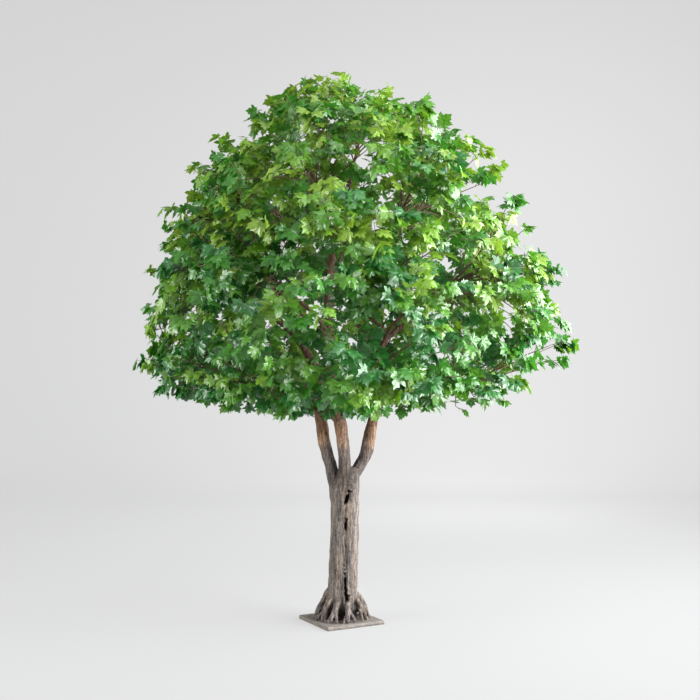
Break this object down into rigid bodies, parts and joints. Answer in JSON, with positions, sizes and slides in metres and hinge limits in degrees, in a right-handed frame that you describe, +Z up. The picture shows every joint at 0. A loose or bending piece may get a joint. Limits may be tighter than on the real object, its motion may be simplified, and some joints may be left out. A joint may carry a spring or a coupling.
{
  "type": "artificial maple tree on a base plate",
  "caption": "Artificial maple tree with a forked, flared trunk, bark-brown boughs and a full green leafy head, standing on a square base plate.",
  "frame": {"origin": "centre of the base plate's flat underside", "axes": "+Z up; X and Y along the edges of the base plate; the tree's front is turned 28.7 degrees on the plate"},
  "size_m": [2.3849, 2.3673, 3.0353],
  "materials": {
    "plate": "matt grey-brown textured coat",
    "bark_grey": "matt moulded bark, furrowed",
    "bark_brown": "matt moulded bark, brown",
    "leaf": "slightly glossy coated cloth, in several greens"
  },
  "bodies": {
    "root": {"base_plate": "plate", "bough_high_1": "bark_brown", "bough_high_2": "bark_brown", "bough_high_3": "bark_brown", "bough_high_4": "bark_brown", "bough_high_5": "bark_brown", "bough_low_1": "bark_brown", "bough_low_2": "bark_brown", "bough_low_3": "bark_brown", "bough_low_4": "bark_brown", "bough_low_5": "bark_brown", "bough_low_6": "bark_brown", "bough_low_7": "bark_brown", "bough_mid_2": "bark_brown", "bough_mid_3": "bark_brown", "bough_mid_4": "bark_brown", "bough_mid_6": "bark_brown", "bough_mid_7": "bark_brown", "foliage_high_1": "leaf", "foliage_high_2": "leaf", "foliage_high_3": "leaf", "foliage_high_4": "leaf", "foliage_high_5": "leaf", "foliage_low_1": "leaf", "foliage_low_2": "leaf", "foliage_low_3": "leaf", "foliage_low_4": "leaf", "foliage_low_5": "leaf", "foliage_low_6": "leaf", "foliage_low_7": "leaf", "foliage_mid_1": "leaf", "foliage_mid_2": "leaf", "foliage_mid_3": "leaf", "foliage_mid_4": "leaf", "foliage_mid_5": "leaf", "foliage_mid_6": "leaf", "foliage_mid_7": "leaf", "foliage_top_1": "leaf", "main_bough_left": "bark_brown", "main_bough_middle": "bark_brown", "main_bough_right": "bark_brown", "trunk": "bark_grey"}
  },
  "joints": []
}
